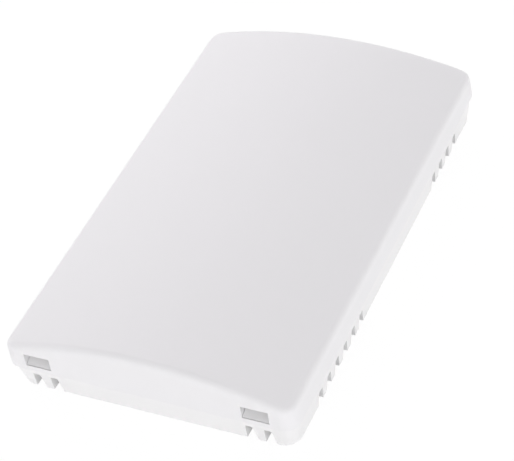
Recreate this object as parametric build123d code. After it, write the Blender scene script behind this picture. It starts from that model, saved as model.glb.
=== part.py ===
from build123d import *
from math import radians, tan
import os

os.makedirs("parts", exist_ok=True)

# A wall temperature sensor, lying on its back. X runs across it, Y up the wall and Z out of the wall,
# in millimetres, and the origin is the middle of the back face.
# An inset is a distance in from the outline of the cover.

# Outer form of the cover
width = 80.4
length = 128.6
crown_depth = 20.3
edge_depth = 14.1
seam = 7.4
corner_radius = 3.9
face_edge_radius = 1.8
lip_edge_radius = 0.5
wall_draft = 3.0
cover_wall = 2.0
inner_edge_radius = 0.8
smallest_radius = 0.4

# Stiffening ribs under the crown of the cover
crown_rib_wall = 1.2
crown_rib_drop = 1.7
crown_rib_edge = 12.0
crown_rib_end = 14.0
cross_rib_count = 4

# Latch windows in the lower end wall of the cover
window_edge = 10.1
window_width = 7.3
window_height = 3.9
window_bottom = 9.15

# Wall plate
rim_inset = 0.6
foot_inset = 1.55
foot_corner_radius = 4.3
plate_wall = 1.3
plate_floor = 2.0

# Vent slots, open at the back of the plate and narrower at their tops. The first vent is placed from the
# lower end, and the last one on the pitch that comes nearest to its distance from the upper end.
vent_pitch = 5.29
vent_foot = 3.0
vent_top = 2.0
vent_height = 4.6
first_vent = 17.0
last_vent = 16.4
lower_vent_count = 6
upper_vent_count = 4

# Two taller vents under each latch window
end_vent_height = 5.4
end_vent_edge = 13.0
end_vent_pitch = 5.05
end_vent_count = 2

# Comb whose teeth part the vents; each vent opens into the housing behind it
comb_inset = 5.0
comb_rise = 3.2
comb_end = 1.2
comb_throat = 1.0

# Locating ribs inside the rim of the plate
cover_gap = 0.25
locating_rib_wall = 1.2
locating_rib_depth = 1.6
locating_rib_rise = 2.0
locating_rib_chamfer = 0.6
vents_per_rib_count = 2
end_rib_pitch = 12.0
end_rib_count = 4

# Latch arms behind the windows
latch_inset = 2.6
latch_thickness = 1.1
latch_clearance = 0.12
latch_nose_inset = 0.4
latch_nose_land = 0.1
latch_top_gap = 2.45

# Hook arms at the upper end, and their pockets in the cover
hook_centre = 18.0
hook_width = 8.0
hook_thickness = 1.8
hook_nose_bottom = 10.0
hook_nose_height = 1.5
hook_nose_reach = 0.9
pocket_clearance = 0.2

# Cable entry with its collar
entry_width = 28.0
entry_height = 22.0
entry_centre = 14.0
entry_radius = 3.0
collar_wall = 1.2
collar_rise = 2.0

# Anchor for a cable tie, above the entry
tie_slot_width = 1.8
tie_slot_length = 5.0
tie_slot_spread = 7.0
tie_anchor_gap = 5.0

# Slots for the wall screws: a gang box upright, a round box across
screw_slot_radius = 2.1
screw_slot_length = 8.0
gang_spacing = 83.3
round_spacing = 60.0
screw_pad_margin = 3.0
screw_pad_rise = 0.8

# Shallow cells between ribs on the back of the plate
cell_depth = 0.8
cell_width = 6.4
cell_height = 9.0
cell_rib = 1.4
cell_corner = 0.8
cell_column_count = 3
lower_cell_row_count = 4
upper_cell_row_count = 2
cell_field_edge = 18.4
lower_cell_field_end = 30.5
upper_cell_field_end = 17.0

# Circuit board
board_width = 50.0
board_height = 30.0
board_upper_edge = -3.0
board_thickness = 1.6
board_seat = 5.0
board_corner = 1.0
tongue_width = 10.0
tongue_end_gap = 12.0
tongue_edge = 11.0
relief_width = 6.0
relief_height = 1.0
relief_drop = 2.0

# Bosses, pegs and clips that hold the board
board_hole_edge = 3.0
screw_drop = 5.0
boss_radius = 2.9
boss_gusset_length = 2.4
boss_gusset_wall = 1.0
peg_drop = 25.0
peg_seat_radius = 2.4
peg_radius = 0.9
peg_rise = 0.8
peg_clearance = 0.1
clip_drop = 19.0
clip_width = 4.0
clip_thickness = 1.3
clip_gap = 0.2
clip_nose = 0.9
clip_nose_height = 1.6
rest_length = 6.0
rest_wall = 1.2
rest_margin = 2.0

# Board screws
screw_radius = 1.1
screw_fit = 0.03
screw_length = 5.6
screw_head_radius = 2.2
screw_head_height = 1.5
screw_hole_clearance = 0.15
cross_length = 2.4
cross_width = 0.6
cross_depth = 0.9

# Leads and drilled holes
drill_clearance = 0.1
lead_below_board = 1.2
solder_radius = 0.95
solder_height = 0.8
solder_tip = 0.15

# Terminal block
pole_count = 6
pole_pitch = 5.08
block_depth = 8.2
block_headroom = 1.7
block_edge_gap = 0.6
block_step_depth = 1.4
block_back_chamfer = 1.2
chamber_width = 4.0
chamber_floor = 0.8
chamber_share = 0.56
screw_well_radius = 1.75

# What each terminal holds
cage_gap = 0.1
cage_wall = 0.6
cage_top = 1.4
cage_depth = 4.6
clamp_screw_radius = 1.25
clamp_screw_fit = 0.03
clamp_screw_gap = 1.5
clamp_head_radius = 1.55
clamp_head_height = 1.5
clamp_slot_width = 0.5
clamp_slot_depth = 0.7
tail_radius = 0.5

# Thermistor on the tongue of the board
thermistor_pitch = 2.54
thermistor_holes_up = 7.0
thermistor_lead_radius = 0.2
thermistor_rise = 3.2
thermistor_bend = 0.8
thermistor_run = 4.6
bead_radius = 1.2
bead_length = 3.6
bead_lead_spacing = 1.0
bead_hold = 1.0
sleeve_radius = 0.42
sleeve_fit = 0.02
sleeve_start = 0.3
sleeve_end = 0.68

# Surge suppressors
suppressor_resistor_gap = 3.42
suppressor_drop = 13.4
suppressor_count = 2
suppressor_step = 10.0
suppressor_share = 0.7
suppressor_thickness = 3.4
suppressor_rim = 1.1
suppressor_lift = 1.2
suppressor_lead_inset = 1.0
suppressor_lead_radius = 0.3
suppressor_hold = 1.8

# Axial reference resistor
resistor_edge_gap = 12.0
resistor_drop = 13.4
resistor_length = 6.3
resistor_radius = 1.15
resistor_waist = 0.2
resistor_pitch = 10.16
resistor_lead_radius = 0.3
resistor_bend = 0.9
resistor_lift = 0.3
resistor_hold = 0.8

# Jumper header
jumper_edge_gap = 10.0
jumper_drop = 22.0
jumper_pin_count = 3
jumper_pitch = 2.54
jumper_base_height = 2.54
jumper_notch = 0.8
jumper_pin_width = 0.64
jumper_headroom = 3.3
shunt_pin_end = 0.51
shunt_width = 2.4
shunt_gap = 0.15
shunt_fit = 0.03
shunt_chamfer = 0.3

# Surface-mount chips, in two rows
chip_length = 2.0
chip_width = 1.25
resistor_chip_height = 0.5
capacitor_chip_height = 0.9
chip_pitch = 4.0
chip_count = 4
resistor_row_drop = 19.5
capacitor_row_drop = 25.0

# How far a cutter runs past what it cuts
over = 1.0

crown_sag = crown_depth - edge_depth
crown_radius = ((width / 2) ** 2 + crown_sag**2) / (2 * crown_sag)
inner_crown = crown_depth - cover_wall
window_centre = width / 2 - window_edge
board_top = board_seat + board_thickness
board_centre = board_upper_edge - board_height / 2
board_lower_edge = board_upper_edge - board_height
board_hole_side = board_width / 2 - board_hole_edge
tongue_centre = board_width / 2 - tongue_edge
tongue_end = tongue_end_gap - length / 2
tongue_length = board_lower_edge - tongue_end
lead_end = board_seat - lead_below_board
block_centre = board_upper_edge - block_edge_gap - block_depth / 2
block_length = pole_count * pole_pitch
block_height = inner_crown - block_headroom - board_top
chamber_height = chamber_share * block_height
cage_height = chamber_height - cage_gap
suppressor_radius = suppressor_share * (inner_crown - crown_rib_drop - board_top) / 2
suppressor_pitch = 2 * (suppressor_radius - suppressor_lead_inset)
jumper_pin_rise = inner_crown - jumper_headroom - board_top
shunt_height = jumper_pin_rise - jumper_base_height - shunt_gap - shunt_pin_end
lip_inset = cover_wall + cover_gap
vent_steps = round((length - first_vent - last_vent) / vent_pitch)
first_upper_vent = vent_steps - upper_vent_count + 1

RIGHT, LEFT, LOWER, UPPER = (-1, 0), (1, 0), (0, 1), (0, -1)


def outline(inset, radius, height):
    """Rounded rectangle, inset from the outline of the cover, at a height above the wall."""
    return Pos(0, 0, height) * RectangleRounded(width - 2 * inset, length - 2 * inset, radius)


def edge_origin(inward, along):
    """Point on the outline of the cover, on the side whose inward direction is given."""
    x = -inward[0] * width / 2 + abs(inward[1]) * along
    y = -inward[1] * length / 2 + abs(inward[0]) * along
    return (x, y, 0)


def section_plane(inward, along):
    """Plane across a side wall: local X is the inset, local Y the height."""
    normal = Vector(*inward, 0).cross(Vector(0, 0, 1))
    return Plane(origin=edge_origin(inward, along), x_dir=(*inward, 0), z_dir=normal)


def facing_plane(inward, along):
    """Plane on a side wall, seen from outside: local Y is the height, and its normal points inward."""
    across = Vector(0, 0, 1).cross(Vector(*inward, 0))
    return Plane(origin=edge_origin(inward, along), x_dir=across, z_dir=(*inward, 0))


def wall_bar(inward, along, profile, thickness):
    """Bar of a section given in inset and height, centred along the wall."""
    return extrude(section_plane(inward, along) * profile, thickness / 2, both=True)


def section(*points):
    return make_face(Polyline(*points, close=True))


def upright(x, y, low, high, radius):
    """Cylinder from one height to another."""
    return Pos(x, y, low) * Cylinder(radius, high - low, align=(Align.CENTER, Align.CENTER, Align.MIN))


def block(x, y, low, high, size_x, size_y):
    """Box centred in X and Y, from one height to another."""
    place = Pos(x, y, low)
    return place * Box(size_x, size_y, high - low, align=(Align.CENTER, Align.CENTER, Align.MIN))


def group(pieces):
    """Separate solids of one node."""
    return Compound([solid for piece in pieces for solid in piece.solids()])


def lean(height):
    """How far the drafted walls of the cover lean inward between the seam and a height."""
    return (height - seam) * tan(radians(wall_draft))


def crowned_block(inset, corner, edge):
    """Everything under the crown inside an inset, down to the seam, with its upper rim rounded."""
    prism = extrude(outline(inset, corner, seam), crown_depth - seam, taper=wall_draft)
    crown = Pos(0, 0, crown_depth - crown_radius) * Rot(90, 0, 0) * Cylinder(crown_radius - inset, length)
    solid = prism & crown
    rim = [e for e in solid.edges() if e.bounding_box().min.Z > seam + edge]
    return fillet(rim, edge)


def cover_cavity():
    corner = max(corner_radius - cover_wall, smallest_radius)
    cavity = crowned_block(cover_wall, corner, inner_edge_radius)
    return cavity + extrude(outline(cover_wall, corner, seam), -over)


def crown_ribs():
    """Two long ribs and the cross ribs between them, deep enough to hang below the crown."""
    low = inner_crown - crown_sag
    rib_side = width / 2 - crown_rib_edge
    rib_length = length - 2 * crown_rib_end
    ribs = [block(side * rib_side, 0, low, crown_depth, crown_rib_wall, rib_length) for side in (-1, 1)]
    step = rib_length / (cross_rib_count - 1)
    for k in range(cross_rib_count):
        ribs.append(block(0, k * step - rib_length / 2, low, crown_depth, 2 * rib_side, crown_rib_wall))
    lower_crown = crown_radius - cover_wall - crown_rib_drop
    below = Pos(0, 0, crown_depth - crown_radius) * Rot(90, 0, 0) * Cylinder(lower_crown, length)
    return [rib - below for rib in ribs]


def hook_pocket(along):
    """Blind pocket in the upper end wall that takes the nose of a hook arm."""
    low = hook_nose_bottom - pocket_clearance
    high = hook_nose_bottom + hook_nose_height + pocket_clearance
    deep = lip_inset - hook_nose_reach - cover_gap
    profile = section((deep, low), (cover_wall + over, low), (cover_wall + over, high), (deep, high))
    return wall_bar(UPPER, along, profile, hook_width + 2 * pocket_clearance)


def front_cover():
    outer = crowned_block(0, corner_radius, face_edge_radius)
    outer = fillet(outer.faces().sort_by(Axis.Z)[0].edges(), lip_edge_radius)
    cover = outer - cover_cavity()
    for rib in crown_ribs():
        cover += rib & outer
    middle = window_bottom + window_height / 2
    for side in (-1, 1):
        window = Box(window_width, 2 * (cover_wall + over), window_height)
        cover -= Pos(side * window_centre, -length / 2, middle) * window
        cover -= hook_pocket(side * hook_centre)
    return cover


def vent_places():
    """Places along Y of the vents in a long side: a lower group, a plain stretch and an upper group."""
    start = first_vent - length / 2
    steps = list(range(lower_vent_count))
    steps += [first_upper_vent + k for k in range(upper_vent_count)]
    return [start + k * vent_pitch for k in steps]


def vent_comb(inward, first, pitch, count):
    """Bar behind one group of vents, up from the floor, before the vents are cut through it."""
    root = foot_inset + plate_wall / 2
    low = plate_floor / 2
    profile = section((root, low), (comb_inset, low), (comb_inset, comb_rise), (root, comb_rise))
    length_along = (count - 1) * abs(pitch) + vent_foot + 2 * comb_end
    return wall_bar(inward, first + (count - 1) * pitch / 2, profile, length_along)


def vent_combs():
    combs = []
    for inward in (RIGHT, LEFT):
        for skipped, count in ((0, lower_vent_count), (first_upper_vent, upper_vent_count)):
            first = first_vent - length / 2 + skipped * vent_pitch
            combs.append(vent_comb(inward, first, vent_pitch, count))
    inner = width / 2 - end_vent_edge
    for side in (-1, 1):
        combs.append(vent_comb(LOWER, side * inner, side * end_vent_pitch, end_vent_count))
    return combs


def vent(inward, along, height):
    """Cutter for one vent, wider at the back of the plate."""
    profile = section(
        (-vent_foot / 2, -over),
        (vent_foot / 2, -over),
        (vent_foot / 2, 0),
        (vent_top / 2, height),
        (-vent_top / 2, height),
        (-vent_foot / 2, 0),
    )
    return extrude(facing_plane(inward, along) * profile, comb_inset + comb_throat)


def locating_rib(inward, along):
    """Rib up the inside of the rim; its top stands above the seam and locates the cover."""
    low = plate_floor / 2
    tip = lip_inset + locating_rib_depth
    top = seam + locating_rib_rise
    profile = section(
        (foot_inset + plate_wall / 2, low),
        (tip, low),
        (tip, top),
        (lip_inset + locating_rib_chamfer, top),
        (lip_inset, top - locating_rib_chamfer),
        (lip_inset, seam - cover_gap),
        (rim_inset + plate_wall / 2, seam - cover_gap),
    )
    return wall_bar(inward, along, profile, locating_rib_wall)


def locating_ribs():
    """Ribs midway between vents on the long sides, and evenly along the ends."""
    start = first_vent - length / 2 + vent_pitch / 2
    ribs = []
    for k in range(0, vent_steps, vents_per_rib_count):
        for inward in (RIGHT, LEFT):
            ribs.append(locating_rib(inward, start + k * vent_pitch))
    for k in range(end_rib_count):
        along = (k - (end_rib_count - 1) / 2) * end_rib_pitch
        ribs.append(locating_rib(LOWER, along))
        ribs.append(locating_rib(UPPER, along))
    return ribs


def latch_arm(side):
    """Sprung arm: a stem between two vents, and a wide head whose nose stands on the sill of a latch
    window and slopes back above it."""
    low = plate_floor / 2
    shoulder = end_vent_height
    catch = window_bottom + latch_clearance
    tip = window_bottom + window_height - latch_top_gap
    back = latch_inset + latch_thickness
    head = section(
        (latch_inset, shoulder),
        (latch_inset, catch),
        (latch_nose_inset, catch),
        (latch_nose_inset, catch + latch_nose_land),
        (latch_inset, tip),
        (back, tip),
        (back, shoulder),
    )
    stem = section((latch_inset, low), (latch_inset, shoulder), (back, shoulder), (back, low))
    between = width / 2 - end_vent_edge + (end_vent_count - 1) * end_vent_pitch / 2
    arm = wall_bar(LOWER, side * window_centre, head, window_width - 2 * latch_clearance)
    return arm + wall_bar(LOWER, side * between, stem, end_vent_pitch - vent_foot)


def hook_arm(along):
    """Stiff arm at the upper end with a nose that stands in a pocket of the cover."""
    low = plate_floor / 2
    high = hook_nose_bottom + hook_nose_height
    face = lip_inset + lean(high)
    nose = lip_inset - hook_nose_reach
    profile = section(
        (face, low),
        (face, hook_nose_bottom),
        (nose, hook_nose_bottom),
        (nose, hook_nose_bottom + hook_nose_height / 2),
        (face, high),
        (face + hook_thickness, high),
        (face + hook_thickness, low),
    )
    return wall_bar(UPPER, along, profile, hook_width)


def tray():
    """Floor and tapered rim of the plate."""
    foot = outline(foot_inset, foot_corner_radius, 0)
    rim = outline(rim_inset, corner_radius - rim_inset, seam)
    inner_foot = outline(foot_inset + plate_wall, foot_corner_radius - plate_wall, plate_floor)
    inner_rim = outline(rim_inset + plate_wall, corner_radius - rim_inset - plate_wall, seam)
    hollow = loft([inner_foot, inner_rim]) + extrude(inner_rim, over)
    return loft([foot, rim]) - hollow


def screw_slots():
    """Places of the wall-screw slots, each with the turn that lays it along its own row."""
    rows = [(Pos(0, side * gang_spacing / 2), 90) for side in (-1, 1)]
    rows += [(Pos(side * round_spacing / 2, 0), 0) for side in (-1, 1)]
    return [place * Rot(0, 0, turn) for place, turn in rows]


def screw_slot_pad(place):
    size = screw_slot_radius + screw_pad_margin
    pad = SlotOverall(screw_slot_length + 2 * screw_pad_margin, 2 * size)
    return extrude(place * pad, plate_floor + screw_pad_rise)


def screw_slot(place):
    slot = SlotOverall(screw_slot_length, 2 * screw_slot_radius)
    return extrude(place * slot, plate_floor + screw_pad_rise + over) + extrude(place * slot, -over)


def cable_entry():
    """Collar round the cable entry, and the opening through it."""
    inner = RectangleRounded(entry_width, entry_height, entry_radius)
    outer_size = (entry_width + 2 * collar_wall, entry_height + 2 * collar_wall)
    outer = RectangleRounded(*outer_size, entry_radius + collar_wall)
    place = Pos(0, entry_centre)
    collar = extrude(place * outer, plate_floor + collar_rise)
    opening = extrude(place * inner, plate_floor + collar_rise + over) + extrude(place * inner, -over)
    return collar, opening


def tie_slots():
    """Two slots through the floor, with a bar between them for a cable tie."""
    y = entry_centre + entry_height / 2 + tie_anchor_gap
    cuts = []
    for side in (-1, 1):
        x = side * tie_slot_spread / 2
        cuts.append(block(x, y, -over, plate_floor + over, tie_slot_width, tie_slot_length))
    return cuts


def back_cells():
    """Shallow cells in the back of the plate, in four fields."""
    cells = []
    pitch_x = cell_width + cell_rib
    pitch_y = cell_height + cell_rib
    cell = extrude(RectangleRounded(cell_width, cell_height, cell_corner), cell_depth)
    x = width / 2 - cell_field_edge
    fields = [(lower_cell_field_end - length / 2, lower_cell_row_count)]
    fields.append((length / 2 - upper_cell_field_end, upper_cell_row_count))
    for y, rows in fields:
        for place in GridLocations(pitch_x, pitch_y, cell_column_count, rows):
            cells += [Pos(side * x, y) * place * cell for side in (-1, 1)]
    return cells


def board_screw_places():
    return [(side * board_hole_side, board_upper_edge - screw_drop) for side in (-1, 1)]


def peg_places():
    return [(side * board_hole_side, board_upper_edge - peg_drop) for side in (-1, 1)]


def board_boss(x, y):
    """Screw boss under the board, with four gussets."""
    low = plate_floor / 2
    boss = upright(x, y, low, board_seat, boss_radius)
    reach = 2 * (boss_radius + boss_gusset_length)
    gusset_top = (plate_floor + board_seat) / 2
    boss += block(x, y, low, gusset_top, reach, boss_gusset_wall)
    boss += block(x, y, low, gusset_top, boss_gusset_wall, reach)
    return boss


def board_peg(x, y):
    """Seat under the board with a pin that locates it."""
    peg = upright(x, y, plate_floor / 2, board_seat, peg_seat_radius)
    return peg + upright(x, y, board_seat, board_top + peg_rise, peg_radius)


def board_clip(side):
    """Sprung clip over the edge of the board."""
    y = board_upper_edge - clip_drop
    inner = board_width / 2 + clip_gap
    outer = inner + clip_thickness
    catch = board_top + clip_gap
    top = catch + clip_nose_height
    profile = section(
        (inner, plate_floor / 2),
        (inner, catch),
        (board_width / 2 - clip_nose, catch),
        (inner, top),
        (outer, top),
        (outer, plate_floor / 2),
    )
    across = Plane(origin=(0, y, 0), x_dir=(side, 0, 0), z_dir=(0, -side, 0))
    return extrude(across * profile, clip_width / 2, both=True)


def board_supports():
    supports = [board_boss(x, y) for x, y in board_screw_places()]
    supports += [board_peg(x, y) for x, y in peg_places()]
    supports += [board_clip(side) for side in (-1, 1)]
    rest = tongue_end + rest_margin
    supports.append(block(tongue_centre, rest, plate_floor / 2, board_seat, rest_length, rest_wall))
    return supports


def plate_cuts():
    """Everything cut through or into the plate once it is whole."""
    cuts = tie_slots() + back_cells()
    cuts += [screw_slot(place) for place in screw_slots()]
    for y in vent_places():
        for inward in (RIGHT, LEFT):
            cuts.append(vent(inward, y, vent_height))
    for k in range(end_vent_count):
        along = width / 2 - end_vent_edge + k * end_vent_pitch
        for side in (-1, 1):
            cuts.append(vent(LOWER, side * along, end_vent_height))
    for x, y in board_screw_places():
        cuts.append(upright(x, y, plate_floor / 2, board_seat + over, screw_radius + screw_fit))
    return cuts


def wall_plate():
    collar, opening = cable_entry()
    grown = [collar] + board_supports() + locating_ribs() + vent_combs()
    grown += [screw_slot_pad(place) for place in screw_slots()]
    for side in (-1, 1):
        grown += [latch_arm(side), hook_arm(side * hook_centre)]
    plate = tray() + grown
    return plate - ([opening] + plate_cuts())


def terminal_places():
    return [((k - (pole_count - 1) / 2) * pole_pitch, block_centre) for k in range(pole_count)]


def thermistor_places():
    y = tongue_end + thermistor_holes_up
    return [(tongue_centre + side * thermistor_pitch / 2, y) for side in (-1, 1)]


def suppressor_places():
    """Places of the discs, in a row that ends beside the resistor."""
    end = resistor_place()[0] - resistor_pitch / 2 - suppressor_resistor_gap - suppressor_radius
    y = board_upper_edge - suppressor_drop
    return [(end - k * suppressor_step, y) for k in range(suppressor_count)]


def suppressor_lead_places():
    halves = (-suppressor_pitch / 2, suppressor_pitch / 2)
    return [(x + half, y) for x, y in suppressor_places() for half in halves]


def resistor_place():
    return board_width / 2 - resistor_edge_gap, board_upper_edge - resistor_drop


def resistor_lead_places():
    x, y = resistor_place()
    return [(x + side * resistor_pitch / 2, y) for side in (-1, 1)]


def jumper_place():
    return jumper_edge_gap - board_width / 2, board_upper_edge - jumper_drop


def jumper_pin_places():
    x, y = jumper_place()
    middle = (jumper_pin_count - 1) / 2
    return [(x + (k - middle) * jumper_pitch, y) for k in range(jumper_pin_count)]


def leads():
    """Every lead through the board: its place and radius."""
    rows = [(terminal_places(), tail_radius)]
    rows.append((thermistor_places(), thermistor_lead_radius))
    rows.append((suppressor_lead_places(), suppressor_lead_radius))
    rows.append((resistor_lead_places(), resistor_lead_radius))
    rows.append((jumper_pin_places(), jumper_pin_width * 2**0.5 / 2))
    return [(x, y, radius) for places, radius in rows for x, y in places]


def circuit_board():
    """Board with a tongue that carries the thermistor clear of the warm parts."""
    body = Pos(0, board_centre) * RectangleRounded(board_width, board_height, board_corner)
    tongue = RectangleRounded(tongue_width, tongue_length + 2 * board_corner, board_corner)
    body += Pos(tongue_centre, board_lower_edge - tongue_length / 2 + board_corner) * tongue
    board = Pos(0, 0, board_seat) * extrude(body, board_thickness)
    low = board_seat - over
    high = board_top + over
    cuts = [block(tongue_centre, board_lower_edge - relief_drop, low, high, relief_width, relief_height)]
    cuts += [upright(x, y, low, high, radius + drill_clearance) for x, y, radius in leads()]
    for x, y in board_screw_places():
        cuts.append(upright(x, y, low, high, screw_radius + screw_hole_clearance))
    for x, y in peg_places():
        cuts.append(upright(x, y, low, high, peg_radius + peg_clearance))
    return board - cuts


def board_screw(x, y):
    """Pan-head screw with a cross recess."""
    head_top = board_top + screw_head_height
    head = upright(x, y, board_top, head_top, screw_head_radius)
    head = fillet(head.edges().sort_by(Axis.Z)[-1], screw_head_height / 2)
    screw = head + upright(x, y, board_top - screw_length, board_top, screw_radius)
    screw = chamfer(screw.edges().sort_by(Axis.Z)[0], screw_radius / 3)
    screw -= block(x, y, head_top - cross_depth, head_top + over, cross_length, cross_width)
    screw -= block(x, y, head_top - cross_depth, head_top + over, cross_width, cross_length)
    return screw


def terminal_block():
    """Moulded housing: one stepped section along the row, a chamber and a screw well for each pole."""
    front = block_depth / 2
    profile = section(
        (-front, 0),
        (front, 0),
        (front, chamber_height),
        (front - block_step_depth, chamber_height + block_step_depth),
        (front - block_step_depth, block_height),
        (block_back_chamfer - front, block_height),
        (-front, block_height - block_back_chamfer),
    )
    housing = extrude(Plane.YZ * profile, block_length / 2, both=True)
    deep = front + cage_depth / 2 + cage_gap
    chamber_y = front - deep / 2 + over / 2
    chamber_top = chamber_floor + chamber_height
    for x, _ in terminal_places():
        housing -= block(x, chamber_y, chamber_floor, chamber_top, chamber_width, deep + over)
        housing -= upright(x, 0, chamber_floor, block_height + over, screw_well_radius)
        housing -= upright(x, 0, -over, chamber_floor + over, tail_radius + cage_gap)
    return Pos(0, block_centre, board_top) * housing


def terminal_cage(x, y):
    """Rising clamp: a box open along the wire, tapped in its top."""
    low = board_top + chamber_floor
    high = low + cage_height
    size = chamber_width - 2 * cage_gap
    cage = block(x, y, low, high, size, cage_depth)
    cage -= block(x, y, low + cage_wall, high - cage_top, size - 2 * cage_wall, cage_depth + 2 * over)
    cage -= upright(x, y, high - cage_top - over, high + over, clamp_screw_radius + clamp_screw_fit)
    return cage


def terminal_screw(x, y):
    """Slotted clamp screw, its head on the top of the cage."""
    seat = board_top + chamber_floor + cage_height
    head_top = seat + clamp_head_height
    screw = upright(x, y, seat, head_top, clamp_head_radius)
    shank_end = seat - cage_height + cage_wall + clamp_screw_gap
    screw += upright(x, y, shank_end, seat, clamp_screw_radius)
    slot_low = head_top - clamp_slot_depth
    slot_length = 2 * clamp_head_radius + over
    return screw - block(x, y, slot_low, head_top + over, slot_length, clamp_slot_width)


def terminal_pin(x, y):
    return upright(x, y, lead_end, board_top + chamber_floor, tail_radius)


def wire(radius, bend, *points):
    """Round wire along straight runs with one bend radius."""
    path = FilletPolyline(*points, radius=bend) if len(points) > 2 else Polyline(*points)
    start = Plane(origin=path @ 0, z_dir=path % 0)
    return sweep(start * Circle(radius), path)


def thermistor_path(side):
    """Points of one lead: up from the board, then level towards the bead."""
    x, y = thermistor_places()[0 if side < 0 else 1]
    level = board_top + thermistor_rise
    end = (tongue_centre + side * bead_lead_spacing / 2, y - thermistor_run, level)
    return [(x, y, lead_end), (x, y, level), end]


def thermistor_leads():
    wires = []
    for side in (-1, 1):
        wires.append(wire(thermistor_lead_radius, thermistor_bend, *thermistor_path(side)))
    return wires


def thermistor_bead():
    """Glass drop on the ends of the leads."""
    y = thermistor_places()[0][1] - thermistor_run + bead_hold - bead_length / 2
    right_side = Pos(bead_radius, 0) * Rectangle(2 * bead_radius, 2 * bead_length)
    half = Ellipse(bead_radius, bead_length / 2) & right_side
    bead = Pos(tongue_centre, y, board_top + thermistor_rise) * revolve(half, Axis.Y)
    for lead in thermistor_leads():
        bead -= lead
    return bead


def thermistor_sleeves():
    """Insulating tubes on the level runs of the leads."""
    tubes = []
    for side in (-1, 1):
        _, start, end = [Vector(*p) for p in thermistor_path(side)]
        run = Line(start + (end - start) * sleeve_start, start + (end - start) * sleeve_end)
        face = Plane(origin=run @ 0, z_dir=run % 0)
        ring = Circle(sleeve_radius) - Circle(thermistor_lead_radius + sleeve_fit)
        tubes.append(extrude(face * ring, run.length))
    return tubes


def suppressor_leads():
    top = board_top + suppressor_lift + suppressor_hold
    return [upright(x, y, lead_end, top, suppressor_lead_radius) for x, y in suppressor_lead_places()]


def suppressor(x, y):
    """Dipped disc that stands on its two leads."""
    disc = Rot(90, 0, 0) * Cylinder(suppressor_radius, suppressor_thickness)
    disc = fillet(disc.edges().filter_by(GeomType.CIRCLE), suppressor_rim)
    middle = board_top + suppressor_lift + suppressor_radius
    disc = Pos(x, y, middle) * disc
    for lead in suppressor_leads():
        disc -= lead
    return disc


def resistor_leads():
    x, _ = resistor_place()
    level = board_top + resistor_lift + resistor_radius
    wires = []
    for side in (-1, 1):
        hole_x, y = resistor_lead_places()[0 if side < 0 else 1]
        inner = x + side * (resistor_length / 2 - resistor_hold)
        points = [(hole_x, y, lead_end), (hole_x, y, level), (inner, y, level)]
        wires.append(wire(resistor_lead_radius, resistor_bend, *points))
    return wires


def reference_resistor():
    """Axial body with a slight waist between its end caps."""
    x, y = resistor_place()
    level = board_top + resistor_lift + resistor_radius
    body = Rot(0, 90, 0) * Cylinder(resistor_radius, resistor_length)
    body = fillet(body.edges().filter_by(GeomType.CIRCLE), resistor_radius / 3)
    waist = Cylinder(resistor_radius + over, resistor_length / 2)
    waist -= Cylinder(resistor_radius - resistor_waist, resistor_length / 2)
    body -= Rot(0, 90, 0) * waist
    body = Pos(x, y, level) * body
    for lead in resistor_leads():
        body -= lead
    return body


def jumper_base():
    """Header strip with notches between its ways."""
    x, y = jumper_place()
    high = board_top + jumper_base_height + over
    strip = block(x, y, board_top, high - over, jumper_pin_count * jumper_pitch, jumper_pitch)
    for k in range(1, jumper_pin_count):
        joint = x + (k - jumper_pin_count / 2) * jumper_pitch
        for side in (-1, 1):
            notch = Rot(0, 0, 45) * block(0, 0, board_top - over, high, jumper_notch, jumper_notch)
            strip -= Pos(joint, y + side * jumper_pitch / 2) * notch
    for px, py in jumper_pin_places():
        strip -= block(px, py, board_top - over, high, jumper_pin_width, jumper_pin_width)
    return strip


def jumper_pin(x, y):
    return block(x, y, lead_end, board_top + jumper_pin_rise, jumper_pin_width, jumper_pin_width)


def jumper_shunt():
    """Cap over the first two pins."""
    (x0, y), (x1, _) = jumper_pin_places()[:2]
    low = board_top + jumper_base_height + shunt_gap
    high = low + shunt_height
    cap = block((x0 + x1) / 2, y, low, high, 2 * jumper_pitch - 2 * shunt_gap, shunt_width)
    cap = chamfer(cap.edges().group_by(Axis.Z)[-1], shunt_chamfer)
    hole = jumper_pin_width + 2 * shunt_fit
    for x in (x0, x1):
        cap -= block(x, y, low - over, high + over, hole, hole)
    return cap


def chip_row(drop, height):
    pieces = []
    y = board_upper_edge - drop
    for k in range(chip_count):
        x = (k - (chip_count - 1) / 2) * chip_pitch
        pieces.append(block(x, y, board_top, board_top + height, chip_width, chip_length))
    return pieces


def solder_joint(x, y, radius):
    """Fillet of solder round a lead, under the board."""
    hang = (Align.CENTER, Align.CENTER, Align.MAX)
    cone = Cone(radius + solder_tip, solder_radius, solder_height, align=hang)
    cone = Pos(x, y, board_seat) * cone
    return cone - upright(x, y, lead_end - over, board_seat + over, radius)


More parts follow.
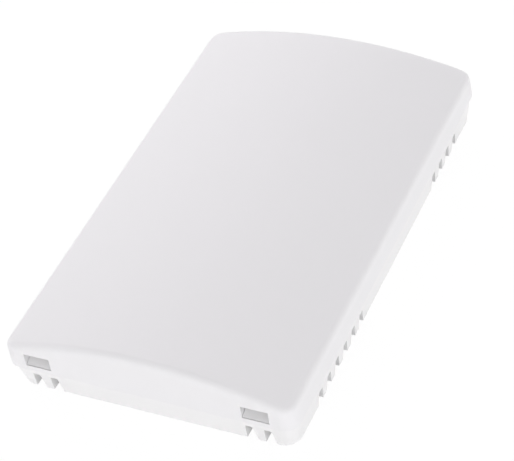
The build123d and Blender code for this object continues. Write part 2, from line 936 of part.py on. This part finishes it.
nodes = {
    "front_cover": front_cover(),
    "wall_plate": wall_plate(),
    "circuit_board": circuit_board(),
    "board_screws": group(board_screw(x, y) for x, y in board_screw_places()),
    "terminal_block": terminal_block(),
    "terminal_cages": group(terminal_cage(x, y) for x, y in terminal_places()),
    "terminal_screws": group(terminal_screw(x, y) for x, y in terminal_places()),
    "terminal_pins": group(terminal_pin(x, y) for x, y in terminal_places()),
    "thermistor_bead": thermistor_bead(),
    "thermistor_leads": group(thermistor_leads()),
    "thermistor_sleeves": group(thermistor_sleeves()),
    "surge_suppressors": group(suppressor(x, y) for x, y in suppressor_places()),
    "suppressor_leads": group(suppressor_leads()),
    "reference_resistor": reference_resistor(),
    "reference_leads": group(resistor_leads()),
    "jumper_base": jumper_base(),
    "jumper_pins": group(jumper_pin(x, y) for x, y in jumper_pin_places()),
    "jumper_shunt": jumper_shunt(),
    "chip_resistors": group(chip_row(resistor_row_drop, resistor_chip_height)),
    "chip_capacitors": group(chip_row(capacitor_row_drop, capacitor_chip_height)),
    "solder_joints": group(solder_joint(x, y, radius) for x, y, radius in leads()),
}

for name, shape in nodes.items():
    export_step(shape, f"parts/{name}.step")
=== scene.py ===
from math import cos, pi, radians, sin

import bmesh
import bpy
from mathutils import Euler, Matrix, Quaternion, Vector


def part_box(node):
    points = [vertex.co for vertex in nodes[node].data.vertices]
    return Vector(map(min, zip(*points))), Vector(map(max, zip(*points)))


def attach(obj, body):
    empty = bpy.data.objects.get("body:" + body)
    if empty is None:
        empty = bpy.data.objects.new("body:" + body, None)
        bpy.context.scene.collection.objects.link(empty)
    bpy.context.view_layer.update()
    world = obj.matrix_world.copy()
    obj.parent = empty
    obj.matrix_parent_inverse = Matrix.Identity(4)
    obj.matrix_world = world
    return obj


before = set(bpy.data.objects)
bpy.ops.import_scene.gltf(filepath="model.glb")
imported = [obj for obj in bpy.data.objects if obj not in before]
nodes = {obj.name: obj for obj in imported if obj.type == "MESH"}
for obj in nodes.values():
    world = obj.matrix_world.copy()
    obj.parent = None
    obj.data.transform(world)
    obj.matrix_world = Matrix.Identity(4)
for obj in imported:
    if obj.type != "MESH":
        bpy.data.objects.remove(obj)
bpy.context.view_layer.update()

# The object lies on its back, as photographed. Lengths are in metres, and mm turns millimetres into them.
mm = 0.001

# Camera, from the fit of the object's corners in the photograph
view_azimuth = 32.753
view_elevation = 43.372
view_roll = -12.490
view_target = (4.255 * mm, -5.368 * mm, 10.0 * mm)
view_distance = 493.463 * mm
sensor_width = 36.0
photo_width = 514
focal_pixels = 1885.062

# Light: a tent that is bright along the horizon, and square soft boxes round the object
sky_light = 0.15
horizon_light = 3.35
horizon_narrowness = 3.0
box_size = 1.0
box_distance = 1.4
box_tint = "#FFFBFF"

# Soft boxes: the direction of each from the object as azimuth and elevation, and its power
soft_boxes = {
    "left_box": (-90, 35, 2.2),
    "back_left_box": (-140, 40, 6.1),
    "back_box": (180, 40, 1.1),
    "overhead_box": (0, 90, 2.4),
    "front_box": (0, 20, 0.9),
    "front_right_box": (50, 15, 4.1),
}

# Floor: the share of plain white that hides all but a faint shadow, and the strength that makes the
# open floor come out white
floor_size = 6
floor_white = 0.95
floor_glow = 1.02

# Finishes: sizes in millimetres, and pairs of sRGB colours
cover_white = ("#F0F0F1", "#EFEFF0")
plate_white = ("#F2F2F2", "#F1F1F1")
flow_mark = 35
raw_laminate = ("#A9A56C", "#938F58")
tinned_cap = "#D4D3CE"
plating_grain = 0.002
cloth_thread = 0.6
cloth_relief = 0.004
chip_cap = 0.35
chip_lacquer = 0.05

# Colour bands of the resistor: where each starts along the body, as a share of its length
band_ground = "#9CC4D6"
band_share = 0.07
band_colours = {0.1: "#6B3A1E", 0.3: "#151515", 0.44: "#151515", 0.58: "#B03A2E", 0.82: "#6B3A1E"}

# Copper, solder and print on the board, in millimetres. Each row of leads has its count and radius.
lead_rows = {
    "terminal_pins": (6, 0.5),
    "suppressor_leads": (4, 0.3),
    "reference_leads": (2, 0.3),
    "jumper_pins": (3, 0.32),
    "thermistor_leads": (2, 0.2),
}
chip_count = 4
chip_width = 1.25
track_width = 0.7
track_height = 0.05
track_step = 0.001
ground_drop = 1.15
neck_spread = 2.75
neck_end = 6.3
print_width = 0.2
print_height = 0.09
print_margin = 0.5
pad_profile = ((0.0, 0.0), (0.5, 0.0), (0.5, 0.05), (0.3, 0.09), (0.08, 0.2), (0.0, 0.34))
fillet_out = 0.4
fillet_share = 0.6
round_steps = 32


def linear(hex_colour):
    """Linear RGBA of an sRGB hex colour."""
    values = [int(hex_colour[k:k + 2], 16) / 255 for k in (1, 3, 5)]
    return [v / 12.92 if v <= 0.04045 else ((v + 0.055) / 1.055) ** 2.4 for v in values] + [1.0]


def add(tree, kind, inputs=None, **settings):
    """One node of a kind, and the socket that it gives out. An input has its number or its name in use,
    and is a value or the socket that feeds it."""
    node = tree.nodes.new(kind)
    for name, value in settings.items():
        setattr(node, name, value)
    for key, value in (inputs or {}).items():
        by_name = [s for s in node.inputs if s.name == key and s.enabled]
        target = by_name[0] if by_name else node.inputs[key]
        if isinstance(value, bpy.types.NodeSocket):
            tree.links.new(value, target)
        else:
            target.default_value = value
    return next((s for s in node.outputs if s.enabled), node)


def new_tree(owner):
    """Empty node tree of a material or world."""
    owner.use_nodes = True
    owner.node_tree.nodes.clear()
    return owner.node_tree


def new_finish(name):
    """New material, its empty tree, and the place on the piece in metres."""
    material = bpy.data.materials.new(name)
    tree = new_tree(material)
    return material, tree, add(tree, "ShaderNodeTexCoord").node.outputs["Object"]


def surface(tree, shader):
    """Ends a tree with one principled shader, whose sockets are given by name."""
    principled = add(tree, "ShaderNodeBsdfPrincipled", shader)
    add(tree, "ShaderNodeOutputMaterial", {"Surface": principled})


def made_of(node, material):
    """Gives a node of the frame its finish."""
    nodes[node].data.materials.clear()
    nodes[node].data.materials.append(material)


def per_metre(size_mm):
    """Scale of a noise or Voronoi texture whose features are this many millimetres apart."""
    return 1 / (size_mm * mm)


# Making the floor, the light and the camera


def seen_directly(tree):
    """1 for rays from the camera, directly or by way of a mirror or glass, and 0 for the light that falls
    on things."""
    path = add(tree, "ShaderNodeLightPath").node
    rays = [path.outputs[name] for name in ("Is Camera Ray", "Is Glossy Ray", "Is Transmission Ray")]
    straight = add(tree, "ShaderNodeMath", {0: rays[0], 1: rays[1]}, operation="MAXIMUM")
    return add(tree, "ShaderNodeMath", {0: straight, 1: rays[2]}, operation="MAXIMUM")


def white_floor():
    """Pale floor. To the camera and in reflections it is white, less the object's faint shadow."""
    bpy.ops.mesh.primitive_plane_add(size=floor_size)
    floor = bpy.context.object
    floor.name = "floor"
    material = bpy.data.materials.new("matt_white_paper")
    tree = new_tree(material)
    paper = add(tree, "ShaderNodeBsdfDiffuse", {"Color": linear("#F7F7F7")})
    glow = add(tree, "ShaderNodeEmission", {"Color": (1, 1, 1, 1), "Strength": floor_glow})
    share = add(tree, "ShaderNodeMath", {0: seen_directly(tree), 1: floor_white}, operation="MULTIPLY")
    mix = add(tree, "ShaderNodeMixShader", {0: share, 1: paper, 2: glow})
    add(tree, "ShaderNodeOutputMaterial", {"Surface": mix})
    floor.data.materials.append(material)


def tent_light():
    """World like a low light tent: brightest along the horizon, even above, and plain white to the camera."""
    world = bpy.data.worlds.new("light_tent")
    bpy.context.scene.world = world
    tree = new_tree(world)
    direction = add(tree, "ShaderNodeTexCoord").node.outputs["Generated"]
    height = add(tree, "ShaderNodeSeparateXYZ", {"Vector": direction}).node.outputs["Z"]
    above = add(tree, "ShaderNodeMath", {0: height, 1: 0.0}, operation="MAXIMUM")
    low = add(tree, "ShaderNodeMath", {0: 1.0, 1: above}, operation="SUBTRACT")
    band = add(tree, "ShaderNodeMath", {0: low, 1: horizon_narrowness}, operation="POWER")
    light = add(tree, "ShaderNodeMath", {0: band, 1: horizon_light, 2: sky_light}, operation="MULTIPLY_ADD")
    tent = add(tree, "ShaderNodeBackground", {"Strength": light})
    white = add(tree, "ShaderNodeBackground", {"Strength": 1.0})
    mix = add(tree, "ShaderNodeMixShader", {0: seen_directly(tree), 1: tent, 2: white})
    add(tree, "ShaderNodeOutputWorld", {"Surface": mix})


def soft_box(name, azimuth, elevation, power):
    """Square area lamp that faces the object, placed by its direction from it."""
    lamp = bpy.data.lights.new(name, "AREA")
    lamp.shape = "SQUARE"
    lamp.size = box_size
    lamp.energy = power
    lamp.color = linear(box_tint)[:3]
    stand = bpy.data.objects.new(name, lamp)
    bpy.context.scene.collection.objects.link(stand)
    turn = Euler((pi / 2 - radians(elevation), 0, radians(azimuth)))
    stand.rotation_euler = turn
    stand.location = turn.to_matrix() @ Vector((0, 0, box_distance))


def photo_camera():
    """Camera at the photograph's viewing angle and distance."""
    camera = bpy.data.objects.new("camera", bpy.data.cameras.new("camera"))
    bpy.context.scene.collection.objects.link(camera)
    turn = Euler((pi / 2 - radians(view_elevation), 0, radians(view_azimuth))).to_quaternion()
    turn = turn @ Quaternion((0, 0, 1), radians(view_roll))
    camera.rotation_mode = "QUATERNION"
    camera.rotation_quaternion = turn
    camera.location = Vector(view_target) + turn @ Vector((0, 0, view_distance))
    camera.data.sensor_width = sensor_width
    camera.data.lens = focal_pixels * sensor_width / photo_width
    camera.data.clip_start = 0.01
    bpy.context.scene.camera = camera


# Making the finishes


def drift(tree, place, colours, size_mm):
    """Colour that wanders between two tones over a distance."""
    cloud = add(tree, "ShaderNodeTexNoise", {"Vector": place, "Scale": per_metre(size_mm), "Detail": 2.0})
    tones = {"Factor": cloud, "A": linear(colours[0]), "B": linear(colours[1])}
    return add(tree, "ShaderNodeMix", tones, data_type="RGBA")


def relief(tree, place, size_mm, depth_mm):
    """Fine bumps, this far apart and this deep."""
    bumps = add(tree, "ShaderNodeTexNoise", {"Vector": place, "Scale": per_metre(size_mm), "Detail": 2.0})
    return add(tree, "ShaderNodeBump", {"Height": bumps, "Distance": depth_mm * mm, "Strength": 1.0})


def moulded_plastic(name, colours, ior, roughness, grain_mm, grain_depth_mm):
    """Injection-moulded plastic from a spark-eroded tool. An even fine grain spreads the highlights into
    soft gradients, and broad flow marks shift the colour very slightly. The real grain is too fine to
    show, so it is drawn coarser."""
    material, tree, place = new_finish(name)
    surface(tree, {
        "Base Color": drift(tree, place, colours, flow_mark),
        "Normal": relief(tree, place, grain_mm, grain_depth_mm),
        "IOR": ior,
        "Roughness": roughness,
    })
    return material


def plated_metal(name, colours, gloss, patch_mm):
    """Thin bright plating over a drawn or pressed metal. Its crystals dull the reflections in patches,
    between the two roughnesses, and shift its colour a little."""
    material, tree, place = new_finish(name)
    patches = add(tree, "ShaderNodeTexNoise", {"Vector": place, "Scale": per_metre(patch_mm), "Detail": 3.0})
    dullness = add(tree, "ShaderNodeMapRange", {"Value": patches, "To Min": gloss[0], "To Max": gloss[1]})
    surface(tree, {
        "Metallic": 1.0,
        "Base Color": drift(tree, place, colours, 3 * patch_mm),
        "Roughness": dullness,
        "Normal": relief(tree, place, patch_mm / 2, plating_grain),
    })
    return material


def masked_board(name, greens, bare_side):
    """Glass-epoxy board under a green solder mask. The weave of the glass cloth shows in the mask as
    faint squares. Faces steeper than the bare side are sawn, and show the raw pale laminate."""
    material, tree, place = new_finish(name)
    normal = add(tree, "ShaderNodeTexCoord").node.outputs["Normal"]
    upward = add(tree, "ShaderNodeSeparateXYZ", {"Vector": normal}).node.outputs["Z"]
    flatness = add(tree, "ShaderNodeMath", {0: upward}, operation="ABSOLUTE")
    masked = add(tree, "ShaderNodeMath", {0: flatness, 1: bare_side}, operation="GREATER_THAN")
    apart = add(tree, "ShaderNodeSeparateXYZ", {"Vector": place}).node
    threads = []
    for axis in ("X", "Y"):
        turns = add(tree, "ShaderNodeMath", {0: apart.outputs[axis], 1: 2 * pi / (cloth_thread * mm)},
                    operation="MULTIPLY")
        threads.append(add(tree, "ShaderNodeMath", {0: turns}, operation="SINE"))
    weave = add(tree, "ShaderNodeMath", {0: threads[0], 1: threads[1]}, operation="MULTIPLY")
    green = add(tree, "ShaderNodeMix", {
        "Factor": add(tree, "ShaderNodeMapRange", {"Value": weave, "From Min": -1.0}),
        "A": linear(greens[0]), "B": linear(greens[1]),
    }, data_type="RGBA")
    cloth = add(tree, "ShaderNodeBump", {"Height": weave, "Distance": cloth_relief * mm, "Strength": 1.0})
    edge = drift(tree, place, raw_laminate, cloth_thread)
    colour = add(tree, "ShaderNodeMix", {"Factor": masked, "A": edge, "B": green}, data_type="RGBA")
    surface(tree, {
        "Base Color": colour,
        "Roughness": add(tree, "ShaderNodeMapRange", {"Value": masked, "To Min": 0.8, "To Max": 0.28}),
        "Normal": cloth,
        "IOR": 1.55,
    })
    return material


def tin_ended_chip(name, node, top, sides):
    """Fired ceramic chip with a tinned cap on each end. The caps mirror, and the body between them is
    satin, with a lacquered top."""
    material, tree, place = new_finish(name)
    low, high = (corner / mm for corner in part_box(node))
    apart = add(tree, "ShaderNodeSeparateXYZ", {"Vector": place}).node
    middle = (low.y + high.y) / 2 * mm
    off = add(tree, "ShaderNodeMath", {0: apart.outputs["Y"], 1: middle}, operation="SUBTRACT")
    off = add(tree, "ShaderNodeMath", {0: off}, operation="ABSOLUTE")
    body_end = ((high.y - low.y) / 2 - chip_cap) * mm
    tinned = add(tree, "ShaderNodeMath", {0: off, 1: body_end}, operation="GREATER_THAN")
    lid = (high.z - chip_lacquer) * mm
    lacquered = add(tree, "ShaderNodeMath", {0: apart.outputs["Z"], 1: lid}, operation="GREATER_THAN")
    body = add(tree, "ShaderNodeMix", {
        "Factor": lacquered,
        "A": drift(tree, place, sides, size_mm=0.5), "B": drift(tree, place, top, size_mm=0.5),
    }, data_type="RGBA")
    surface(tree, {
        "Base Color": add(tree, "ShaderNodeMix", {"Factor": tinned, "A": body, "B": linear(tinned_cap)},
                          data_type="RGBA"),
        "Metallic": tinned,
        "Roughness": add(tree, "ShaderNodeMapRange", {"Value": tinned, "To Min": 0.42, "To Max": 0.24}),
        "Normal": relief(tree, place, size_mm=0.15, depth_mm=0.004),
    })
    return material


def banded_lacquer(node):
    """Light blue lacquer over a ceramic rod, glossy and a little uneven, with painted colour bands."""
    material, tree, place = new_finish("resistor_lacquer_with_bands")
    low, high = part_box(node)
    along = add(tree, "ShaderNodeSeparateXYZ", {"Vector": place}).node.outputs["X"]
    share = add(tree, "ShaderNodeMapRange", {"Value": along, "From Min": low.x, "From Max": high.x})
    bands = add(tree, "ShaderNodeValToRGB", {"Fac": share})
    ramp = bands.node.color_ramp
    ramp.interpolation = "CONSTANT"
    ramp.elements[0].color = linear(band_ground)
    ramp.elements.remove(ramp.elements[1])
    for start, colour in band_colours.items():
        ramp.elements.new(start).color = linear(colour)
        ramp.elements.new(start + band_share).color = linear(band_ground)
    surface(tree, {
        "Base Color": bands,
        "Roughness": 0.22,
        "Normal": relief(tree, place, size_mm=0.6, depth_mm=0.01),
        "IOR": 1.5,
    })
    return material


def dipped_epoxy():
    """Blue epoxy powder melted onto a disc: glossy, with the soft orange peel of a dipped coat."""
    material, tree, place = new_finish("dipped_blue_epoxy")
    surface(tree, {
        "Base Color": drift(tree, place, ("#1D4B9A", "#1A4288"), size_mm=2.5),
        "Roughness": 0.2,
        "Normal": relief(tree, place, size_mm=0.9, depth_mm=0.02),
        "IOR": 1.55,
        "Coat Weight": 0.4,
        "Coat Roughness": 0.08,
    })
    return material


def sealed_glass():
    """Bead of dark sealing glass, smooth from the flame, with faint brown streaks in it."""
    material, tree, place = new_finish("flame_sealed_glass_bead")
    surface(tree, {
        "Base Color": drift(tree, place, ("#2A1A14", "#15110F"), size_mm=0.9),
        "Roughness": 0.06,
        "Normal": relief(tree, place, size_mm=1.2, depth_mm=0.01),
        "IOR": 1.52,
    })
    return material


def extruded_ptfe():
    """Milky extruded PTFE tube: waxy, and light passes a little way into it."""
    material, tree, place = new_finish("extruded_ptfe_sleeve")
    surface(tree, {
        "Base Color": drift(tree, place, ("#EFECE4", "#E6E3DA"), size_mm=1.5),
        "Roughness": 0.38,
        "Normal": relief(tree, place, size_mm=0.2, depth_mm=0.002),
        "IOR": 1.35,
        "Subsurface Weight": 0.4,
        "Subsurface Radius": (1.0, 0.95, 0.9),
        "Subsurface Scale": 0.5 * mm,
    })
    return material


def screen_ink():
    """Screen-printed white ink: flat, matt and a little thin in places."""
    material, tree, place = new_finish("screen_printed_white_ink")
    surface(tree, {
        "Base Color": drift(tree, place, ("#EDEDE8", "#D9DAD3"), size_mm=0.4),
        "Roughness": 0.7,
        "Normal": relief(tree, place, size_mm=0.1, depth_mm=0.002),
        "IOR": 1.5,
    })
    return material


white_cover = moulded_plastic("white_abs_moulded_fine_spark", cover_white,
                              ior=1.53, roughness=0.5, grain_mm=0.25, grain_depth_mm=0.004)
white_plate = moulded_plastic("white_abs_moulded_smooth", plate_white,
                              ior=1.53, roughness=0.42, grain_mm=0.3, grain_depth_mm=0.003)
green_polyamide = moulded_plastic("green_polyamide_moulded", ("#23683A", "#1F5F34"),
                                  ior=1.53, roughness=0.4, grain_mm=0.2, grain_depth_mm=0.005)
black_plastic = moulded_plastic("black_polyester_moulded", ("#1B1B1C", "#161617"),
                                ior=1.57, roughness=0.45, grain_mm=0.2, grain_depth_mm=0.004)
bright_zinc = plated_metal("bright_zinc_plate_on_steel", ("#C6C8CA", "#B7BAC0"),
                           gloss=(0.18, 0.34), patch_mm=0.5)
bright_nickel = plated_metal("nickel_plate_on_brass", ("#CFC6B3", "#C2B9A4"),
                             gloss=(0.16, 0.3), patch_mm=0.8)
tinned_wire = plated_metal("tinned_copper_wire", ("#D5D3CD", "#C8C5BE"),
                           gloss=(0.22, 0.4), patch_mm=0.4)
wetted_solder = plated_metal("wetted_tin_solder", ("#CFD0D2", "#BEBFC2"),
                             gloss=(0.12, 0.32), patch_mm=0.7)
green_board = masked_board("green_solder_mask_on_glass_epoxy", ("#125B33", "#166A3C"), bare_side=0.5)
masked_copper = masked_board("green_solder_mask_on_copper", ("#1E7A45", "#23854D"), bare_side=-1.0)
black_chip = tin_ended_chip("lacquered_chip_resistor", "chip_resistors",
                            top=("#1A1A1D", "#141416"), sides=("#DDDAD2", "#CFCBC2"))
tan_chip = tin_ended_chip("fired_tan_chip_ceramic", "chip_capacitors",
                          top=("#A98A62", "#9A7C56"), sides=("#A98A62", "#9A7C56"))

for node, material in (
    ("front_cover", white_cover),
    ("wall_plate", white_plate),
    ("circuit_board", green_board),
    ("board_screws", bright_zinc),
    ("terminal_block", green_polyamide),
    ("terminal_screws", bright_zinc),
    ("terminal_cages", bright_nickel),
    ("terminal_pins", tinned_wire),
    ("thermistor_bead", sealed_glass()),
    ("thermistor_leads", tinned_wire),
    ("thermistor_sleeves", extruded_ptfe()),
    ("surge_suppressors", dipped_epoxy()),
    ("suppressor_leads", tinned_wire),
    ("jumper_base", black_plastic),
    ("jumper_pins", tinned_wire),
    ("jumper_shunt", black_plastic),
    ("chip_resistors", black_chip),
    ("chip_capacitors", tan_chip),
    ("reference_resistor", banded_lacquer("reference_resistor")),
    ("reference_leads", tinned_wire),
    ("solder_joints", wetted_solder),
):
    made_of(node, material)

# Making the board's copper, solder and print


def lead_places(row):
    """Where the leads of one row go through the board, from left to right, and their radius, in mm."""
    count, radius = lead_rows[row]
    low, high = (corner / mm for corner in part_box(row))
    step = (high.x - low.x - 2 * radius) / (count - 1)
    return [Vector((low.x + radius + k * step, high.y - radius)) for k in range(count)], radius


def chip_places(row):
    """Middles of the chips in one row, from left to right, and the length and height of a chip, in mm."""
    low, high = (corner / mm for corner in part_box(row))
    step = (high.x - low.x - chip_width) / (chip_count - 1)
    middle = (low.y + high.y) / 2
    places = [Vector((low.x + chip_width / 2 + k * step, middle)) for k in range(chip_count)]
    return places, high.y - low.y, high.z - low.z


def board_piece(name, mesh, material, bevel):
    """Makes a piece in millimetres on the face of the board, and lets it ride there."""
    bmesh.ops.recalc_face_normals(mesh, faces=mesh.faces)
    data = bpy.data.meshes.new(name)
    mesh.to_mesh(data)
    piece = bpy.data.objects.new(name, data)
    bpy.context.scene.collection.objects.link(piece)
    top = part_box("circuit_board")[1].z
    for vertex in data.vertices:
        vertex.co = vertex.co * mm + Vector((0, 0, top))
    data.materials.append(material)
    edge = piece.modifiers.new("soft_edge", "BEVEL")
    edge.width = bevel * mm
    edge.segments = 2
    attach(piece, "root")
    return piece


def strip(mesh, points, width, height, closed=False):
    """Flat strip along a route, mitred at its corners."""
    rings = []
    for k, point in enumerate(points):
        first, last = not closed and k == 0, not closed and k == len(points) - 1
        onward = (points[(k + 1) % len(points)] - point).normalized()
        back = (point - points[k - 1]).normalized()
        a, b = (onward if first else back), (back if last else onward)
        across = Vector((-a.y - b.y, a.x + b.x)).normalized()
        reach = width / 2 / across.dot(Vector((-a.y, a.x)))
        edges = (point + across * reach, point - across * reach)
        rings.append([mesh.verts.new((*spot, z)) for spot in edges for z in (0, height)])
    spans = list(zip(rings, rings[1:]))
    if closed:
        spans.append((rings[-1], rings[0]))
    for one, two in spans:
        for i, j in ((1, 3), (3, 2), (2, 0), (0, 1)):
            mesh.faces.new((one[i], one[j], two[j], two[i]))
    if not closed:
        for ring in (rings[0], rings[-1]):
            mesh.faces.new((ring[0], ring[1], ring[3], ring[2]))


def elbow(upper, lower):
    """Route down from one place to another, with one stretch at 45 degrees midway."""
    middle = (upper.y + lower.y) / 2
    half = abs(upper.x - lower.x) / 2
    return [upper, Vector((upper.x, middle + half)), Vector((lower.x, middle - half)), lower]


def board_tracks():
    """Copper tracks, a step higher than the face under the same mask. They end at the edge of a part that
    stands on its pins, and those of the sensor pass each side of the slot in the board. Each is a hair
    higher than the one before, so that no two faces coincide where they meet."""
    terminals, suppressors, references, jumpers, sensor = (lead_places(row)[0] for row in lead_rows)
    block_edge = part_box("terminal_block")[0].y / mm
    terminals = [Vector((place.x, block_edge)) for place in terminals]
    base_low, base_high = (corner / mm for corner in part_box("jumper_base"))
    necks = [sensor[k] + Vector((side * neck_spread, neck_end)) for k, side in enumerate((-1, 1))]
    resistors, resistor_length, _ = chip_places("chip_resistors")
    capacitors, capacitor_length, _ = chip_places("chip_capacitors")
    above = [place + Vector((0, resistor_length / 2)) for place in resistors]
    below = [place - Vector((0, capacitor_length / 2)) for place in capacitors]
    routes = [elbow(*pair) for pair in zip(terminals, suppressors + references)]
    routes += [elbow(*three[:2])[:-1] + elbow(*three[1:])[1:] for three in zip(references, necks, sensor)]
    routes += [elbow(*pair) for pair in zip(suppressors[1:] + references[:1], above)]
    routes += [[one, two] for one, two in zip(resistors, capacitors)]
    routes.append(elbow(terminals[0], Vector((jumpers[0].x, base_high.y))))
    routes.append([Vector((base_high.x, jumpers[2].y)), Vector((resistors[0].x, jumpers[2].y))])
    ground = below[0].y - ground_drop
    corner = Vector((jumpers[1].x, ground))
    routes.append([Vector((corner.x, base_low.y)), corner, Vector((below[-1].x, ground))])
    routes += [[place, Vector((place.x, ground))] for place in below]
    mesh = bmesh.new()
    for k, route in enumerate(routes):
        strip(mesh, route, track_width, track_height + k * track_step)
    return mesh


def board_print():
    """Plain printed outline round each of the larger parts. It lies higher than the tracks that it
    crosses, so that no two faces coincide."""
    mesh = bmesh.new()
    for node in ("terminal_block", "surge_suppressors", "reference_resistor", "jumper_base"):
        low, high = (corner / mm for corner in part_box(node))
        left, right = low.x - print_margin, high.x + print_margin
        bottom, top = low.y - print_margin, high.y + print_margin
        corners = [Vector(c) for c in ((left, bottom), (right, bottom), (right, top), (left, top))]
        strip(mesh, corners, print_width, print_height, closed=True)
    return mesh


def board_pads():
    """Solder on the face of the board: a ring that climbs each bare lead, and a fillet at each chip end."""
    mesh = bmesh.new()
    for row in ("suppressor_leads", "reference_leads", "thermistor_leads"):
        places, radius = lead_places(row)
        for place in places:
            rings = []
            for k in range(round_steps):
                turn = 2 * pi * k / round_steps
                way = Vector((cos(turn), sin(turn)))
                profile = [(*(place + way * (radius + out)), up) for out, up in pad_profile]
                rings.append([mesh.verts.new(point) for point in profile])
            for one, two in zip(rings, rings[1:] + rings[:1]):
                for i in range(len(pad_profile)):
                    mesh.faces.new((one[i - 1], one[i], two[i], two[i - 1])).smooth = True
    for row in ("chip_resistors", "chip_capacitors"):
        places, chip_length, chip_height = chip_places(row)
        section = ((0, 0), (fillet_out, 0), (fillet_out, track_height), (0, fillet_share * chip_height))
        for place in places:
            for side in (-1, 1):
                end = place.y + side * chip_length / 2
                faces = [[mesh.verts.new((place.x + half, end + side * out, up)) for out, up in section]
                         for half in (-chip_width / 2, chip_width / 2)]
                mesh.faces.new(faces[0])
                mesh.faces.new(faces[1])
                for i in range(len(section)):
                    mesh.faces.new((faces[0][i - 1], faces[0][i], faces[1][i], faces[1][i - 1]))
    return mesh


board_piece("board_tracks", board_tracks(), masked_copper, bevel=0.01)
board_piece("board_pads", board_pads(), wetted_solder, bevel=0.01)
board_piece("board_print", board_print(), screen_ink(), bevel=0.004)

white_floor()
tent_light()
for box_name, settings in soft_boxes.items():
    soft_box(box_name, *settings)
photo_camera()
bpy.context.scene.view_settings.view_transform = "Standard"
